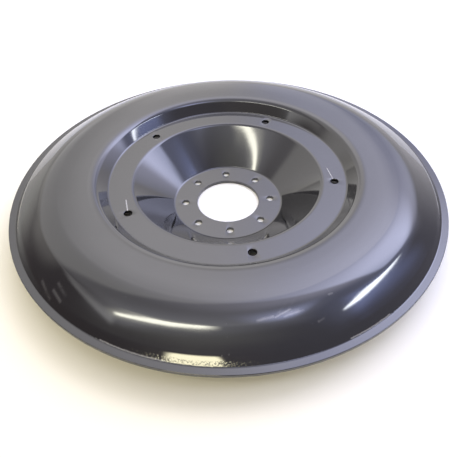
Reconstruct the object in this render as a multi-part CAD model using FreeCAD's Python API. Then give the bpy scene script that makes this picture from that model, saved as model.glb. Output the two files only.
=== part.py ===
import FreeCAD, Part
import math
import os

# A gliding disc for a drum mower: one steel sheet pressed into a dish.
# Lengths are in millimetres, angles in degrees.
# Z is the axis of the disc, and Z = 0 is the underside of its hub flange, on which it lies.
# The side that glides over the ground faces up.

# Sheet, and the small chamfer along its cut edges
sheet_thickness = 5.0
edge_break = 0.5

# Hub flange, flat and lowest, with its bore and a circle of bolt holes
bore_diameter = 98.0
hub_flat_diameter = 170.4
bolt_circle_diameter = 135.0
bolt_hole_diameter = 11.0
bolt_hole_count = 8
bolt_first_angle = 0.0

# Cone that rises from the hub flange to the ledge
cone_angle = 40.5
cone_height = 50.1

# Ledge, a flat ring with a circle of wider holes
ledge_diameter = 360.0
ledge_circle_diameter = 324.0
ledge_hole_diameter = 12.0
ledge_hole_count = 5
ledge_first_angle = 135.0

# Step from the ledge up to the crown
step_angle = 51.0
step_height = 18.5

# Crown, which bulges a little between the step and the shoulder
crown_circle_diameter = 456.0
crown_rise = 1.2
crown_fall = 1.1

# Shoulder, flank that steepens outwards, outer wall and flat lip
shoulder_angle = 28.0
flank_angle = 32.0
flank_height = 11.1
wall_angle = 44.0
wall_height = 7.3
lip_width = 9.6
lip_above_hub = 36.7
disc_diameter = 650.0

# Inside bend radii, each on the hollow side of its bend
hub_bend = 5.0
cone_bend = 4.0
ledge_bend = 4.0
step_bend = 7.0
crown_bend = 495.0
shoulder_bend = 63.0
flank_bend = 195.0
rim_bend = 25.0
lip_bend = 3.0

# Edges of the section shorter than this are left out
shortest_edge = 0.001


def wall_run(height, angle):
    """Width that a wall at this angle takes up while it rises by this height."""
    return height / math.tan(math.radians(angle))


def ground_face():
    """Sharp corners of the upper face from bore to rim: radius, height, inside bend radius."""
    hub_z = sheet_thickness
    ledge_z = hub_z + cone_height
    step_z = ledge_z + step_height
    crown_z = step_z + crown_rise
    shoulder_z = crown_z - crown_fall
    lip_z = hub_z + lip_above_hub
    wall_z = lip_z + wall_height
    flank_z = wall_z + flank_height
    hub_r = hub_flat_diameter / 2
    cone_r = hub_r + wall_run(cone_height, cone_angle)
    ledge_r = ledge_diameter / 2
    step_r = ledge_r + wall_run(step_height, step_angle)
    lip_r = disc_diameter / 2 - lip_width
    wall_r = lip_r - wall_run(wall_height, wall_angle)
    flank_r = wall_r - wall_run(flank_height, flank_angle)
    shoulder_r = flank_r - wall_run(shoulder_z - flank_z, shoulder_angle)
    return [
        (bore_diameter / 2, hub_z, 0.0),
        (hub_r, hub_z, hub_bend),
        (cone_r, ledge_z, cone_bend),
        (ledge_r, ledge_z, ledge_bend),
        (step_r, step_z, step_bend),
        (crown_circle_diameter / 2, crown_z, crown_bend),
        (shoulder_r, shoulder_z, shoulder_bend),
        (flank_r, flank_z, flank_bend),
        (wall_r, wall_z, rim_bend),
        (lip_r, lip_z, lip_bend),
        (disc_diameter / 2, lip_z, 0.0),
    ]


def direction(start, end):
    """Unit vector from one corner of a section to another."""
    length = math.hypot(end[0] - start[0], end[1] - start[1])
    return ((end[0] - start[0]) / length, (end[1] - start[1]) / length)


def turn(before, corner, after):
    """Angle in radians by which a path turns at a corner, positive to the left."""
    come = direction(before, corner)
    leave = direction(corner, after)
    cross = come[0] * leave[1] - come[1] * leave[0]
    along = come[0] * leave[0] + come[1] * leave[1]
    return math.atan2(cross, along)


def bend_radii(path):
    """Radius of each bend on the upper face, made smaller where two bends would meet."""
    radii = [0.0]
    reaches = [0.0]
    for before, corner, after in zip(path, path[1:], path[2:]):
        angle = turn(before, corner, after)
        radius = corner[2] if angle > 0 else corner[2] + sheet_thickness
        radii.append(radius)
        reaches.append(radius * math.tan(abs(angle) / 2))
    radii.append(0.0)
    reaches.append(0.0)
    shares = [1.0] * len(path)
    for index in range(len(path) - 1):
        run = math.dist(path[index][:2], path[index + 1][:2])
        share = run / max(run, reaches[index] + reaches[index + 1])
        shares[index] = min(shares[index], share)
        shares[index + 1] = min(shares[index + 1], share)
    return [radius * share for radius, share in zip(radii, shares)]


def shifted(before, corner, after, distance):
    """Corner of the same path moved by a distance to its right."""
    come = direction(before, corner)
    leave = direction(corner, after)
    share = distance / (1 + come[0] * leave[0] + come[1] * leave[1])
    return (corner[0] + share * (come[1] + leave[1]), corner[1] - share * (come[0] + leave[0]))


def sheet_section():
    """Corners of the whole section as a loop, each with its radius, which is 0 where it is sharp."""
    path = ground_face()
    bore_r, hub_z = path[0][:2]
    rim_r, lip_z = path[-1][:2]
    upper = [(bore_r, hub_z - edge_break, 0), (bore_r + edge_break, hub_z, 0)]
    lower = [
        (bore_r, hub_z - sheet_thickness + edge_break, 0),
        (bore_r + edge_break, hub_z - sheet_thickness, 0),
    ]
    bends = bend_radii(path)[1:]
    for before, corner, after, radius in zip(path, path[1:], path[2:], bends):
        grow = sheet_thickness if turn(before, corner, after) > 0 else -sheet_thickness
        below = shifted(before, corner, after, sheet_thickness)
        upper.append((corner[0], corner[1], radius))
        lower.append((below[0], below[1], max(radius + grow, 0)))
    upper += [(rim_r - edge_break, lip_z, 0), (rim_r, lip_z - edge_break, 0)]
    lower += [
        (rim_r - edge_break, lip_z - sheet_thickness, 0),
        (rim_r, lip_z - sheet_thickness + edge_break, 0),
    ]
    return upper + lower[::-1]


def tangent_arc(before, corner, after, radius):
    """Start, middle and end of the arc of this radius that rounds a corner."""
    half = abs(turn(before, corner, after)) / 2
    come = direction(before, corner)
    leave = direction(corner, after)
    reach = radius * math.tan(half)
    depth = (radius / math.cos(half) - radius) / (2 * math.sin(half))
    start = (corner[0] - reach * come[0], corner[1] - reach * come[1])
    middle = (
        corner[0] + depth * (leave[0] - come[0]),
        corner[1] + depth * (leave[1] - come[1]),
    )
    end = (corner[0] + reach * leave[0], corner[1] + reach * leave[1])
    return [FreeCAD.Vector(point[0], 0, point[1]) for point in (start, middle, end)]


def section_face(corners):
    """Face of a closed section in the XZ plane, with a tangent arc at each rounded corner."""
    arcs = []
    for index, corner in enumerate(corners):
        before = corners[index - 1]
        after = corners[(index + 1) % len(corners)]
        arcs.append(tangent_arc(before, corner, after, corner[2]))
    edges = []
    for index, (start, middle, end) in enumerate(arcs):
        last_end = arcs[index - 1][2]
        if last_end.distanceToPoint(start) > shortest_edge:
            edges.append(Part.LineSegment(last_end, start).toShape())
        if start.distanceToPoint(end) > shortest_edge:
            edges.append(Part.Arc(start, middle, end).toShape())
    return Part.Face(Part.Wire(edges))


def turned(face):
    """Solid made by turning a face of the XZ plane all the way round the Z axis."""
    return face.revolve(FreeCAD.Vector(0, 0, 0), FreeCAD.Vector(0, 0, 1), 360)


def punch(radius):
    """Tool that cuts a hole through a flat with its underside at Z = 0 and breaks both edges."""
    flare = radius + 2 * edge_break
    top = sheet_thickness
    outline = [
        (0, -edge_break),
        (flare, -edge_break),
        (radius, edge_break),
        (radius, top - edge_break),
        (flare, top + edge_break),
        (0, top + edge_break),
    ]
    points = [FreeCAD.Vector(point[0], 0, point[1]) for point in outline]
    return turned(Part.Face(Part.makePolygon(points + points[:1])))


def hole_circle(hole_diameter, circle_diameter, count, first_angle, underside):
    """Punches for a circle of equal holes in a flat whose underside is at this height."""
    tools = []
    for index in range(count):
        angle = math.radians(first_angle + index * 360 / count)
        x = circle_diameter / 2 * math.cos(angle)
        y = circle_diameter / 2 * math.sin(angle)
        tool = punch(hole_diameter / 2)
        tool.translate(FreeCAD.Vector(x, y, underside))
        tools.append(tool)
    return tools


def bolt_holes():
    """Punches through the hub flange."""
    return hole_circle(
        bolt_hole_diameter, bolt_circle_diameter, bolt_hole_count, bolt_first_angle, 0
    )


def ledge_holes():
    """Punches through the ledge."""
    return hole_circle(
        ledge_hole_diameter,
        ledge_circle_diameter,
        ledge_hole_count,
        ledge_first_angle,
        cone_height,
    )


def mower_disc():
    """The whole disc: the pressed sheet with its bore, bolt holes and ledge holes."""
    pressed_sheet = turned(section_face(sheet_section()))
    return pressed_sheet.cut(Part.makeCompound(bolt_holes() + ledge_holes()))


os.makedirs("parts", exist_ok=True)
mower_disc().exportStep("parts/mower_disc.step")
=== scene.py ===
import bpy
import math
from mathutils import Matrix, Vector


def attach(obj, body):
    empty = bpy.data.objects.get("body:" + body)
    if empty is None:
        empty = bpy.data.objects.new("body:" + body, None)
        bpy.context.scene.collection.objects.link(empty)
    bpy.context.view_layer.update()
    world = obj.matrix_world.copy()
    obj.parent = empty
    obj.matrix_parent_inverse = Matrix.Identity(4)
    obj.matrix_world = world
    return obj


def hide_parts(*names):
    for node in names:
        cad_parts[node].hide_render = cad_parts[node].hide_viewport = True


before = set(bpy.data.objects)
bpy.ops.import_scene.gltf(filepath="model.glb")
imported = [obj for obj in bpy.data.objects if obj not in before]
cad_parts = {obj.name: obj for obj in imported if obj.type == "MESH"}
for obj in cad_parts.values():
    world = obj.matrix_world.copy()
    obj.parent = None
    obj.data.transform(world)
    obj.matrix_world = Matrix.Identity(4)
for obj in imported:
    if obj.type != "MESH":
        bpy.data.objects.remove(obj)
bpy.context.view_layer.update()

scene = bpy.context.scene

# Sizes in metres and angles in degrees. The step leans a little less than on the disc's solid
# and has a rounded brow, and the rest is as on the solid.
SHEET = 0.005
EDGE_ROUND = 0.0006
BORE = 0.098
HUB_FLAT = 0.1704
BOLT_CIRCLE = 0.135
BOLT_HOLE = 0.011
CONE_ANGLE = 40.5
LEDGE_TOP = 0.0551
LEDGE_EDGE = 0.360
LEDGE_CIRCLE = 0.324
LEDGE_HOLE = 0.012
STEP_ANGLE = 47.5
STEP_TOP = 0.0717
BROW_WIDTH = 0.0083
BROW_TOP = 0.07395
CROWN_CIRCLE = 0.456
CROWN_TOP = 0.07474
SHOULDER_TOP = 0.0737
SHOULDER_ANGLE = 28.0
FLANK_ANGLE = 32.0
FLANK_HEIGHT = 0.0111
WALL_ANGLE = 44.0
WALL_HEIGHT = 0.0073
LIP_WIDTH = 0.0096
LIP_TOP = 0.0417
DISC = 0.64999

# Radius of each bend, on the upper face
HUB_BEND = 0.005
CONE_BEND = 0.009
LEDGE_BEND = 0.004
STEP_BEND = 0.014
BROW_BEND = 0.030
CROWN_BEND = 0.500
SHOULDER_BEND = 0.068
FLANK_BEND = 0.340
RIM_BEND = 0.030
LIP_BEND = 0.003

# Steps round the axis, and how far a chord of a bend may lie off its arc
STEPS_ROUND = 360
CHORD = 0.000006

# Width of the strips at the ends of a straight run, and the shortest run that is kept
NARROW = 0.0005
SHORTEST = 0.00002

# The photograph shows the disc turned by this much about its axis
PHOTO_TURN = 1.63

# Radians of ripple in a metre of crown, and the least film of dust on the enamel
RIPPLE = 560.0
FILM = 0.05

# Height above which the upper face lies, for marks that the underside hasn't
ABOVE_LIP = 0.040

# Colours of the enamel, of pale marks and painted highlights on it, and of the paper, plain and with
# painted warm light
ENAMEL_BLACK = (0.0055, 0.0055, 0.0065)
PALE_MARK_AND_HIGHLIGHT_GREY = (0.42, 0.41, 0.40)
PAPER_WHITE = (0.95, 0.95, 0.955)
PAINTED_WARM_LIGHT = (0.95, 0.895, 0.70)

# Degrees in a radian
DEGREE = 57.2958

# The camera's place in metres, its turn in degrees and its lens in millimetres, and the
# side of its square picture in pixels
CAMERA_PLACE = (-0.01653, -0.58071, 0.52003)
CAMERA_TURN = (44.963, 1.202, -2.913)
CAMERA_LENS = 37.975
PICTURE_SIDE = 458


def across(height, angle):
    """Width that a wall at this angle takes up while it rises by this height."""
    return height / math.tan(math.radians(angle))


def ground_face_corners():
    """Sharp corners of the upper face from the bore to the rim: radius, height, bend radius."""
    wall_top = LIP_TOP + WALL_HEIGHT
    flank_top = wall_top + FLANK_HEIGHT
    hub = HUB_FLAT / 2
    cone = hub + across(LEDGE_TOP - SHEET, CONE_ANGLE)
    ledge = LEDGE_EDGE / 2
    step = ledge + across(STEP_TOP - LEDGE_TOP, STEP_ANGLE)
    lip = DISC / 2 - LIP_WIDTH
    wall = lip - across(WALL_HEIGHT, WALL_ANGLE)
    flank = wall - across(FLANK_HEIGHT, FLANK_ANGLE)
    shoulder = flank - across(SHOULDER_TOP - flank_top, SHOULDER_ANGLE)
    return [
        (BORE / 2, SHEET, 0.0),
        (hub, SHEET, HUB_BEND),
        (cone, LEDGE_TOP, CONE_BEND),
        (ledge, LEDGE_TOP, LEDGE_BEND),
        (step, STEP_TOP, STEP_BEND),
        (step + BROW_WIDTH, BROW_TOP, BROW_BEND),
        (CROWN_CIRCLE / 2, CROWN_TOP, CROWN_BEND),
        (shoulder, SHOULDER_TOP, SHOULDER_BEND),
        (flank, flank_top, FLANK_BEND),
        (wall, wall_top, RIM_BEND),
        (lip, LIP_TOP, LIP_BEND),
        (DISC / 2, LIP_TOP, 0.0),
    ]


def only(*objs):
    """Selects just these objects, the last of them active."""
    bpy.ops.object.select_all(action="DESELECT")
    for obj in objs:
        obj.select_set(True)
    bpy.context.view_layer.objects.active = objs[-1]
    return objs[-1]


def edit(action="DESELECT"):
    """Edit mode with everything selected or nothing."""
    bpy.ops.object.mode_set(mode="EDIT")
    bpy.ops.mesh.select_all(action=action)


def leave_edit():
    bpy.ops.object.mode_set(mode="OBJECT")


def seed_point(place):
    """One vertex at a place, from a plane merged to its middle."""
    bpy.ops.object.select_all(action="DESELECT")
    bpy.ops.mesh.primitive_plane_add(size=0.001, location=place)
    seed = only(bpy.context.object)
    bpy.ops.object.transform_apply(location=True)
    edit("SELECT")
    bpy.ops.mesh.merge(type="CENTER")
    return seed


def run_out(heading, length):
    """Extrudes the section's end point straight on."""
    move = {"value": heading * length}
    bpy.ops.mesh.extrude_region_move(TRANSFORM_OT_translate=move)
    return heading * length


def draw_section():
    """The upper face's section as a chain of edges: runs are extruded and bends are spun."""
    corners = ground_face_corners()
    turns, reaches = [0.0], [0.0]
    for a, b, c in zip(corners, corners[1:], corners[2:]):
        come = math.atan2(b[1] - a[1], b[0] - a[0])
        leave = math.atan2(c[1] - b[1], c[0] - b[0])
        turns.append(leave - come)
        reaches.append(b[2] * math.tan(abs(leave - come) / 2))
    turns.append(0.0)
    reaches.append(0.0)
    here = Vector((corners[0][0], 0, corners[0][1]))
    section = seed_point(here)
    for i, (a, b) in enumerate(zip(corners, corners[1:])):
        heading = Vector((b[0] - a[0], 0, b[1] - a[1]))
        run = heading.length - reaches[i] - reaches[i + 1]
        heading.normalize()
        if run > 4 * NARROW:
            # a narrow strip at each end of a run keeps its shading flat
            for length in (NARROW, run - 2 * NARROW, NARROW):
                here = here + run_out(heading, length)
        elif run > SHORTEST:
            here = here + run_out(heading, run)
        if turns[i + 1]:
            turn = turns[i + 1]
            to_middle = Vector((-heading.z, 0, heading.x)) * math.copysign(b[2], turn)
            middle = here + to_middle
            steps = math.ceil(abs(turn) / math.sqrt(8 * CHORD / b[2]))
            bpy.ops.mesh.spin(steps=steps, angle=turn, center=middle, axis=(0, 1, 0))
            here = middle + Matrix.Rotation(turn, 3, (0, -1, 0)) @ (here - middle)
    leave_edit()
    return section


def press_disc():
    """The sheet: the section turned about the axis, given its thickness, its cut edges rounded."""
    disc = draw_section()
    disc.name = "pressed_disc"
    disc.data.name = "pressed_disc"
    edit("SELECT")
    bpy.ops.mesh.spin(steps=STEPS_ROUND, angle=math.tau, center=(0, 0, 0), axis=(0, 0, 1))
    bpy.ops.mesh.select_all(action="SELECT")
    bpy.ops.mesh.remove_doubles(threshold=0.000005)
    bpy.ops.mesh.normals_make_consistent(inside=False)
    leave_edit()
    if max(disc.data.polygons, key=lambda face: abs(face.normal.z)).normal.z < 0:
        edit("SELECT")
        bpy.ops.mesh.flip_normals()
        leave_edit()
    wall = disc.modifiers.new("sheet", "SOLIDIFY")
    wall.thickness = SHEET
    wall.offset = -1
    wall.use_even_offset = True
    bpy.ops.object.modifier_apply(modifier=wall.name)
    edit()
    bpy.context.tool_settings.mesh_select_mode = (False, True, False)
    bpy.ops.mesh.edges_select_sharp(sharpness=math.radians(60))
    bpy.ops.mesh.bevel(offset=EDGE_ROUND, segments=3, profile=0.5, affect="EDGES")
    leave_edit()
    return disc


def make_punch(radius, top):
    """A punch on the axis whose ends flare, so that it rounds both edges of the hole it cuts."""
    bottom = top - SHEET
    wide = radius + EDGE_ROUND
    spare = 0.001
    bpy.ops.object.select_all(action="DESELECT")
    bpy.ops.mesh.primitive_circle_add(
        vertices=48, radius=wide, location=(0, 0, bottom - spare), fill_type="NGON")
    punch = only(bpy.context.object)
    bpy.ops.object.transform_apply(location=True)
    quarter = [math.radians(angle) for angle in (0, 30, 60, 90)]
    flare = [(radius + EDGE_ROUND * (1 - math.sin(a)), EDGE_ROUND * (1 - math.cos(a)))
             for a in quarter]
    rings = [(ring, bottom + rise) for ring, rise in flare]
    rings += [(ring, top - rise) for ring, rise in reversed(flare)]
    rings.append((wide, top + spare))
    edit("SELECT")
    ring_now, level = wide, bottom - spare
    for ring, height in rings:
        move = {"value": (0, 0, height - level)}
        bpy.ops.mesh.extrude_region_move(TRANSFORM_OT_translate=move)
        bpy.ops.transform.resize(value=(ring / ring_now, ring / ring_now, 1))
        ring_now, level = ring, height
    bpy.ops.mesh.select_all(action="SELECT")
    bpy.ops.mesh.normals_make_consistent(inside=False)
    leave_edit()
    return punch


def circle_of_punches(punch, circle, count, first):
    """Copies of a punch, each with its own mesh, set out on a circle."""
    punches = []
    for index in range(count):
        angle = math.radians(first + index * 360 / count)
        only(punch)
        bpy.ops.object.duplicate()
        copy = only(bpy.context.object)
        copy.location = (circle / 2 * math.cos(angle), circle / 2 * math.sin(angle), 0)
        bpy.ops.object.transform_apply(location=True)
        punches.append(copy)
    bpy.data.objects.remove(punch)
    return punches


def punch_holes(disc):
    """Cuts the eight bolt holes of the hub and the five holes of the ledge."""
    punches = circle_of_punches(make_punch(BOLT_HOLE / 2, SHEET), BOLT_CIRCLE, 8, 0)
    punches += circle_of_punches(make_punch(LEDGE_HOLE / 2, LEDGE_TOP), LEDGE_CIRCLE, 5, 135)
    only(*punches)
    bpy.ops.object.join()
    tools = bpy.context.object
    only(disc)
    cut = disc.modifiers.new("holes", "BOOLEAN")
    cut.operation = "DIFFERENCE"
    cut.object = tools
    cut.solver = "EXACT"
    bpy.ops.object.modifier_apply(modifier=cut.name)
    bpy.data.objects.remove(tools)
    bpy.ops.object.shade_smooth_by_angle(angle=math.radians(32))
    return disc


class Value:
    """A shader socket that can be reckoned with."""

    def __init__(self, nodes, socket):
        self.nodes = nodes
        self.socket = socket

    def math(self, operation, *others):
        inputs = dict(enumerate((self, *others)))
        return self.nodes.add("ShaderNodeMath", {"operation": operation}, inputs)

    def __add__(self, other):
        return self.math("ADD", other)

    def __sub__(self, other):
        return self.math("SUBTRACT", other)

    def __rsub__(self, other):
        return self * -1 + other

    def __mul__(self, other):
        return self.math("MULTIPLY", other)

    def __truediv__(self, other):
        return self.math("DIVIDE", other)

    def __rtruediv__(self, other):
        return self ** -1 * other

    def __pow__(self, other):
        return self.math("POWER", other)

    def __abs__(self):
        return self.math("ABSOLUTE")

    __radd__ = __add__
    __rmul__ = __mul__


class Nodes:
    """The node tree of a material or of the world."""

    def __init__(self, owner):
        owner.use_nodes = True
        self.tree = owner.node_tree
        self.tree.nodes.clear()

    def add(self, kind, settings=None, inputs=None, output=0):
        """One node: its settings first, then the values or links of its sockets."""
        node = self.tree.nodes.new(kind)
        for name, setting in (settings or {}).items():
            setattr(node, name, setting)
        for name, given in (inputs or {}).items():
            if isinstance(given, Value):
                self.tree.links.new(given.socket, node.inputs[name])
            else:
                node.inputs[name].default_value = given
        return Value(self, node.outputs[output]) if node.outputs else node

    def soft_edge(self, inside, softness):
        """From 0 to 1 while a distance goes from outside an edge to inside it."""
        return self.add("ShaderNodeMapRange", {"interpolation_type": "SMOOTHSTEP"}, {
            "Value": inside, "From Min": -softness, "From Max": softness})

    def dot(self, vector, axis):
        return self.add("ShaderNodeVectorMath", {"operation": "DOT_PRODUCT"},
                        {0: vector, 1: axis}, "Value")

    def tinted(self, amount, colour):
        """A colour in proportion to an amount."""
        return self.add("ShaderNodeVectorMath", {"operation": "SCALE"},
                        {0: colour, "Scale": amount})

    def noise(self, place, scale, detail):
        """Cloudy values from 0 to 1, mostly near a half, at a scale in cells to the metre."""
        return self.add("ShaderNodeTexNoise", {"noise_dimensions": "3D"},
                        {"Vector": place, "Scale": scale, "Detail": detail, "Roughness": 0.5})

    def mix(self, share, one, other):
        """A colour between two colours."""
        return self.add("ShaderNodeMix", {"data_type": "RGBA"},
                        {"Factor": share, 6: (*one, 1), 7: (*other, 1)}, 2)

    def sum(self, one, other):
        return self.add("ShaderNodeVectorMath", {"operation": "ADD"}, {0: one, 1: other})


def low_panel(nodes, azimuth, height, borders, colour):
    """A soft-edged panel of light low on a wall, between a left, right, low and high border.

    Each border is an angle and its softness, both in degrees.
    """
    left, right, low, high = borders
    mask = nodes.soft_edge(azimuth - left[0], left[1])
    mask = mask * nodes.soft_edge(right[0] - azimuth, right[1])
    mask = mask * nodes.soft_edge(height - low[0], low[1])
    mask = mask * nodes.soft_edge(high[0] - height, high[1])
    return nodes.tinted(mask, colour)


def overhead_panel(nodes, overhead, corners, colour):
    """A soft-edged sheet of light, drawn on a level ceiling one unit above the disc.

    Each corner is its place to the right and away from the camera, and the softness of the
    border that runs from it, anticlockwise, to the next.
    """
    mask = 1
    for (x, y, soft), (next_x, next_y, _) in zip(corners, corners[1:] + corners[:1]):
        along = Vector((next_x - x, next_y - y)).normalized()
        border = (-along.y, along.x, along.y * x - along.x * y)
        mask = nodes.soft_edge(nodes.dot(overhead, border), soft) * mask
    return nodes.tinted(mask, colour)


# Panels on the walls: left, right, low and high border, and colour
LOW_PANELS = (
    # far wall left
    (((-66, 13), (23, 19), (-9, 2), (13, 7)), (0.67, 0.67, 0.62)),
    # far wall right
    (((-24, 13), (54, 15), (-9, 2), (24, 9)), (0.65, 0.63, 0.64)),
    # low left
    (((-105, 1), (-44, 7), (-9, 3), (6, 1)), (0.07, 0.08, 0.08)),
)

# Panels overhead: corners, and colour
OVERHEAD_PANELS = (
    # upper left
    (((-1.8, 0.45, 0.16), (-1.09, 0.29, 0.09), (-0.51, 0.24, 0.07), (0.05, 0.48, 0.16),
      (0.12, 4.02, 0.25), (-3.5, 4.03, 0.58), (-3.13, 1.46, 0.3)), (0.57, 0.56, 0.52)),
    # upper mid
    (((-0.47, 0.83, 0.14), (0.131, 0.549, 0.03), (0.59, 0.95, 0.09), (0.52, 3, 0.5),
      (-0.41, 3, 0.23)), (0.7, 0.68, 0.7)),
    # window
    (((0.24, 0.37, 0.05), (0.43, 0.29, 0.04), (0.83, 0.2, 0.05), (1.11, 0.21, 0.07),
      (1.78, 0.72, 0.45), (1.66, 1.05, 0.32), (0.33, 0.89, 0.47)), (2.1, 2.25, 3.2)),
    # window glow
    (((-0.2, 0.54, 0.44), (0.18, 0.11, 0.19), (1.08, 0.3, 0.22), (2.23, 1.09, 1.18),
      (1.72, 2, 0.77), (0.41, 1.49, 0.8)), (1.34, 1.3, 1.58)),
    # ceiling left
    (((-2.37, 1.17, 0.25), (-1.57, 0.38, 0.06), (-0.89, -0.39, 0.04), (-0.13, -0.42, 0.04),
      (0.61, -0.36, 0.36), (0.18, 0.47, 0.37), (0.19, 4, 0.12), (-2.36, 4, 0.4)),
     (0.42, 0.42, 0.44)),
    # ceiling near
    (((-1.1, -0.24, 0.12), (-0.9, -0.39, 0.07), (-0.14, -0.5, 0.07), (0.52, -0.38, 0.1),
      (0.56, -0.07, 0.47), (-0.12, 0.04, 0.29)), (0.39, 0.4, 0.47)),
    # ceiling right
    (((0.05, 0.52, 0.6), (0.56, -0.37, 0.14), (0.9, -0.43, 0.08), (2.33, 1.06, 0.8),
      (2.5, 3.01, 0.7), (0.18, 3.02, 0.16)), (0.36, 0.42, 0.71)),
    # fringe
    (((-1.6, 0.22, 0.4), (-0.99, -0.44, 0.14), (-0.01, -0.62, 0.12), (0.73, -0.43, 0.1),
      (0.8, -0.21, 0.69), (-0.22, -0.32, 0.26)), (0.49, 0.51, 0.44)),
    # tube a
    (((-0.848, -0.251, 0.03), (-0.856, -0.283, 0.012), (-0.404, -0.396, 0.05),
      (-0.396, -0.363, 0.012)), (9.6, 9.4, 7.9)),
    # tube b
    (((-0.398, -0.363, 0.05), (-0.402, -0.396, 0.012), (-0.127, -0.431, 0.08),
      (-0.123, -0.401, 0.012)), (9.6, 9.4, 7.9)),
    # tube glow
    (((-0.92, -0.21, 0.08), (-0.89, -0.305, 0.035), (-0.17, -0.458, 0.08), (-0.14, -0.37, 0.035)),
     (1.3, 1.27, 1)),
    # streak
    (((-1.57, 0.38, 0.06), (-1.54, 0.33, 0.04), (-0.95, -0.38, 0.04), (-0.87, -0.31, 0.06)),
     (0.9, 0.89, 0.88)),
    # blue strip
    (((0.816, -0.295, 0.02), (0.824, -0.305, 0.02), (0.958, -0.224, 0.02), (1.603, 0.366, 0.13),
      (1.597, 0.374, 0.012), (0.916, -0.175, 0.012)), (12, 12.6, 13.4)),
    # blue glow
    (((0.8, -0.18, 0.1), (0.97, -0.32, 0.18), (1.86, 0.25, 0.99), (1.54, 0.28, 0.15)),
     (0.85, 1.08, 2.31)),
    # lavender patch
    (((0.13, -0.11, 0.19), (0.23, -0.35, 0.08), (0.4, -0.32, 0.09), (0.41, -0.04, 0.2)),
     (2.11, 2.31, 3.69)),
    # golden lamp
    (((-0.56, -0.88, 0.07), (-1, -1.76, 0.1), (-0.13, -1.76, 0.04), (-0.12, -0.88, 0.14)),
     (10.5, 9.8, 6.8)),
)

# Light from everywhere, and what is added towards the right
ROOM = (0.17, 0.14, 0.14)
ROOM_RIGHT = (0.19, 0.21, 0.29)


def light_studio():
    """Soft studio light: pale walls and ceiling, a few lamps, and a dark side near the camera."""
    world = bpy.data.worlds.new("studio")
    scene.world = world
    nodes = Nodes(world)
    place = nodes.add("ShaderNodeTexCoord", output="Generated")
    view = nodes.add("ShaderNodeVectorRotate", {"rotation_type": "Z_AXIS"},
                     {"Vector": place, "Angle": math.radians(PHOTO_TURN)})
    x = nodes.dot(view, (1, 0, 0))
    y = nodes.dot(view, (0, 1, 0))
    z = nodes.dot(view, (0, 0, 1))
    azimuth = x.math("ARCTAN2", y) * DEGREE
    height = z.math("ARCSINE") * DEGREE
    overhead = nodes.add("ShaderNodeVectorMath", {"operation": "SCALE"},
                         {0: view, "Scale": 1 / z.math("MAXIMUM", 0.05)})
    light = nodes.sum(nodes.tinted(x * 0.5 + 0.5, ROOM_RIGHT), ROOM)
    for borders, colour in LOW_PANELS:
        light = nodes.sum(light, low_panel(nodes, azimuth, height, borders, colour))
    for corners, colour in OVERHEAD_PANELS:
        sheet = overhead_panel(nodes, overhead, corners, colour)
        light = nodes.sum(light, nodes.tinted(nodes.soft_edge(z - 0.05, 0.01), sheet))
    seen = nodes.add("ShaderNodeLightPath", output="Is Camera Ray")
    light = nodes.add("ShaderNodeMix", {"data_type": "RGBA"},
                      {"Factor": seen, 6: light, 7: (1, 1, 1, 1)}, 2)
    glow = nodes.add("ShaderNodeBackground", None, {"Color": light, "Strength": 1.0})
    nodes.add("ShaderNodeOutputWorld", None, {"Surface": glow})


def lay_floor():
    """A sheet of pale paper under the hub, which widens away from the camera, with painted warm
    light towards the lower left.
    """
    bpy.ops.object.select_all(action="DESELECT")
    bpy.ops.mesh.primitive_plane_add(size=1)
    floor = bpy.context.object
    floor.name = "floor"
    corners = ((-0.37, -0.42, 0), (0.37, -0.42, 0), (-4.2, 11, 0), (4.2, 11, 0))
    for vertex, corner in zip(floor.data.vertices, corners):
        vertex.co = corner
    paper = bpy.data.materials.new("white_paper")
    nodes = Nodes(paper)
    place = nodes.add("ShaderNodeTexCoord", output="Object")
    # painted light: the paper turns beige towards the lower left, where a yellow lamp's light falls
    warm = nodes.soft_edge(nodes.dot(place, (-0.7, -0.7, 0)) - 0.12, 0.35)
    paper_and_painted_light = nodes.mix(warm, PAPER_WHITE, PAINTED_WARM_LIGHT)
    white = nodes.add("ShaderNodeBsdfPrincipled", None, {
        "Base Color": paper_and_painted_light, "Roughness": 0.9, "Specular IOR Level": 0.1})
    nodes.add("ShaderNodeOutputMaterial", None, {"Surface": white})
    floor.data.materials.append(paper)


# Painted highlights: pale lines on the ledge by two of its holes that stand in for glints on paint
# runs: start, end and width
PAINTED_RUN_GLINTS = (
    ((-0.1452, -0.0690), (-0.1500, -0.0445), 0.0016),
    ((0.1597, -0.0255), (0.1548, 0.0070), 0.0010),
)

# Faint smears of wax on the near shoulder: start, end, width and strength
SMEARS = (
    ((0.0200, -0.2745), (0.0400, -0.2705), 0.0025, 0.5),
    ((0.0450, -0.2680), (0.0700, -0.2645), 0.0040, 0.3),
    ((0.0550, -0.2560), (0.0420, -0.2700), 0.0014, 0.08),
    ((0.0690, -0.2470), (0.0560, -0.2630), 0.0012, 0.06),
    ((0.0407, -0.2718), (0.0598, -0.2625), 0.0016, 0.5),
    ((0.0509, -0.2709), (0.0745, -0.2636), 0.0016, 0.4),
    ((0.0892, -0.2752), (0.0979, -0.2709), 0.0020, 0.25),
    ((0.1050, -0.2460), (0.1110, -0.2440), 0.0020, 0.3),
    ((-0.2242, -0.2022), (-0.2115, -0.2209), 0.0030, 0.2),
    ((-0.2178, -0.1960), (-0.2051, -0.2161), 0.0030, 0.15),
    ((-0.2418, -0.1853), (-0.2277, -0.2130), 0.0030, 0.15),
)

# Painted highlights: ragged pale lines along the foot of the wall that stand in for a lamp's
# reflection in its bend: start, end and width
PAINTED_FOOT_HIGHLIGHTS = (
    ((0.1260, -0.2880), (0.1800, -0.2590), 0.0080),
    ((-0.1600, -0.2712), (-0.0830, -0.3040), 0.0080),
)

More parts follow.
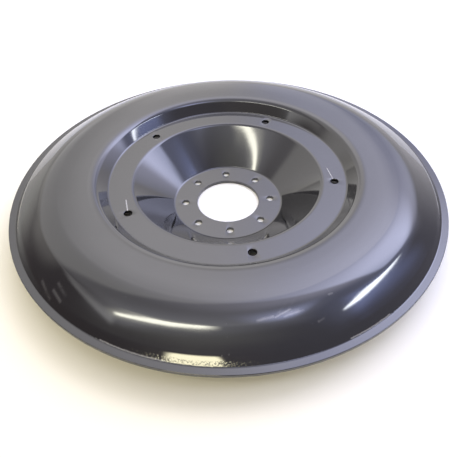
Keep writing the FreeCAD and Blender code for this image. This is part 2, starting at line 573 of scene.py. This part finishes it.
# Specks of grit caught in the enamel: place and radius
GRIT = (
    ((-0.0206, -0.3051), 0.0009),
    ((-0.0129, -0.3047), 0.0010),
    ((0.0627, -0.2070), 0.0007),
    ((0.0605, -0.2658), 0.0006),
)


def stroke(nodes, place, start, end, width, softness):
    """A straight soft-edged stroke seen from above, from one point to another."""
    run = Vector((end[0] - start[0], end[1] - start[1]))
    along = run.normalized()
    way_in = nodes.dot(place, (along.x, along.y, 0)) - along.dot(Vector(start))
    aside = nodes.dot(place, (-along.y, along.x, 0)) - (along.x * start[1] - along.y * start[0])
    mask = nodes.soft_edge(width / 2 - abs(aside), softness)
    mask = mask * nodes.soft_edge(way_in, softness)
    return mask * nodes.soft_edge(run.length - way_in, softness)


def black_enamel():
    """Glossy black enamel: an orange peel, runs at the foot of the wall, a thin film of dust, pale
    smears, grit and specks, and painted highlights at the foot of the wall and on the ledge.
    """
    enamel = bpy.data.materials.new("black_enamel")
    nodes = Nodes(enamel)
    place = nodes.add("ShaderNodeTexCoord", output="Object")
    level = nodes.dot(place, (0, 0, 1))
    flat = nodes.add("ShaderNodeVectorMath", {"operation": "MULTIPLY"}, {0: place, 1: (1, 1, 0)})
    radius = nodes.add("ShaderNodeVectorMath", {"operation": "LENGTH"}, {0: flat}, "Value")

    peel = nodes.noise(place, 330.0, 2.0)
    drift = nodes.noise(place, 14.0, 2.0)
    cloud = nodes.noise(place, 45.0, 4.0)
    runs = nodes.noise(place, 420.0, 3.0)
    foot = nodes.soft_edge(radius - 0.3108, 0.0012) * nodes.soft_edge(0.3160 - radius, 0.0010)
    ragged = nodes.soft_edge(runs - 0.56, 0.10) * foot
    ripple = (radius * RIPPLE + drift * 9).math("SINE")
    rippled = nodes.soft_edge(radius - 0.196, 0.012) * nodes.soft_edge(0.285 - radius, 0.02)
    relief = peel * 0.000004 + drift * 0.00003 + ragged * 0.00005 + ripple * rippled * 0.0000035

    on_ledge = nodes.soft_edge(level - (LEDGE_TOP - 0.001), 0.0004)
    # painted highlights: pale lines on the ledge in place of glints on paint runs, with a rougher
    # gloss there
    painted_run_glints = 0
    for start, end, width in PAINTED_RUN_GLINTS:
        painted_run_glints = stroke(nodes, place, start, end, width, 0.0002) + painted_run_glints
    painted_run_glints = painted_run_glints * on_ledge * nodes.soft_edge(cloud - 0.30, 0.12)
    smeared = 0
    for start, end, width, strength in SMEARS:
        smeared = stroke(nodes, place, start, end, width, width * 0.6) * strength + smeared
    smeared = smeared * nodes.soft_edge(level - 0.045, 0.002) * nodes.soft_edge(cloud - 0.42, 0.15)
    gritty = 0
    for centre, size in GRIT:
        away = nodes.add("ShaderNodeVectorMath", {"operation": "DISTANCE"},
                         {0: flat, 1: (*centre, 0)}, "Value")
        gritty = nodes.soft_edge(size - away, 0.0003) + gritty
    gritty = gritty * nodes.soft_edge(level - ABOVE_LIP, 0.002)
    specks = nodes.add("ShaderNodeTexVoronoi", {"feature": "F1"},
                       {"Vector": place, "Scale": 70.0, "Randomness": 1.0}, "Distance")
    specks = nodes.soft_edge(0.035 - specks, 0.02) * nodes.soft_edge(cloud - 0.52, 0.06)

    # painted highlight: ragged pale lines at the foot of the wall, in place of a lamp's reflection
    # in its bend
    painted_foot_highlight = 0
    for start, end, width in PAINTED_FOOT_HIGHLIGHTS:
        painted_foot_highlight = stroke(nodes, place, start, end, width, 0.0010) + painted_foot_highlight
    painted_foot_highlight = painted_foot_highlight * nodes.soft_edge(level - ABOVE_LIP, 0.002)
    painted_foot_highlight = painted_foot_highlight * nodes.soft_edge(radius + runs * 0.0016 - 0.3148, 0.0003)
    painted_foot_highlight = painted_foot_highlight * nodes.soft_edge(0.3151 - radius, 0.0003)

    # pale colour: real smears, grit and specks, and painted highlights at the foot of the wall and
    # on the ledge
    pale = painted_run_glints * 0.9 + smeared * 0.6 + gritty * 0.06 + specks * 0.06 + painted_foot_highlight * 0.5
    colour = nodes.mix(pale, ENAMEL_BLACK, PALE_MARK_AND_HIGHLIGHT_GREY)
    film = drift * 0.16 + cloud * 0.10 + smeared * 0.5 + specks * 0.3 + FILM
    gloss = cloud * 0.03 + drift * 0.03 + painted_run_glints * 0.4 + gritty * 0.08 + 0.02
    bumps = nodes.add("ShaderNodeBump", None, {
        "Strength": 1.0, "Distance": 1.0, "Height": relief})
    paint = nodes.add("ShaderNodeBsdfPrincipled", None, {
        "Base Color": colour, "Roughness": gloss, "IOR": 1.88, "Normal": bumps,
        "Coat Weight": film, "Coat Roughness": 0.4, "Coat IOR": 1.5})
    nodes.add("ShaderNodeOutputMaterial", None, {"Surface": paint})
    return enamel


disc = punch_holes(press_disc())
disc.data.materials.clear()
disc.data.materials.append(black_enamel())
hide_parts("mower_disc")
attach(disc, "root")

lay_floor()
light_studio()

camera = bpy.data.objects.new("camera", bpy.data.cameras.new("camera"))
scene.collection.objects.link(camera)
camera.location = CAMERA_PLACE
camera.rotation_euler = [math.radians(angle) for angle in CAMERA_TURN]
camera.data.lens = CAMERA_LENS
camera.data.shift_x = -0.3 / PICTURE_SIDE
camera.data.shift_y = 0.5 / PICTURE_SIDE
camera.data.clip_start = 0.01
scene.camera = camera
scene.view_settings.view_transform = "Standard"
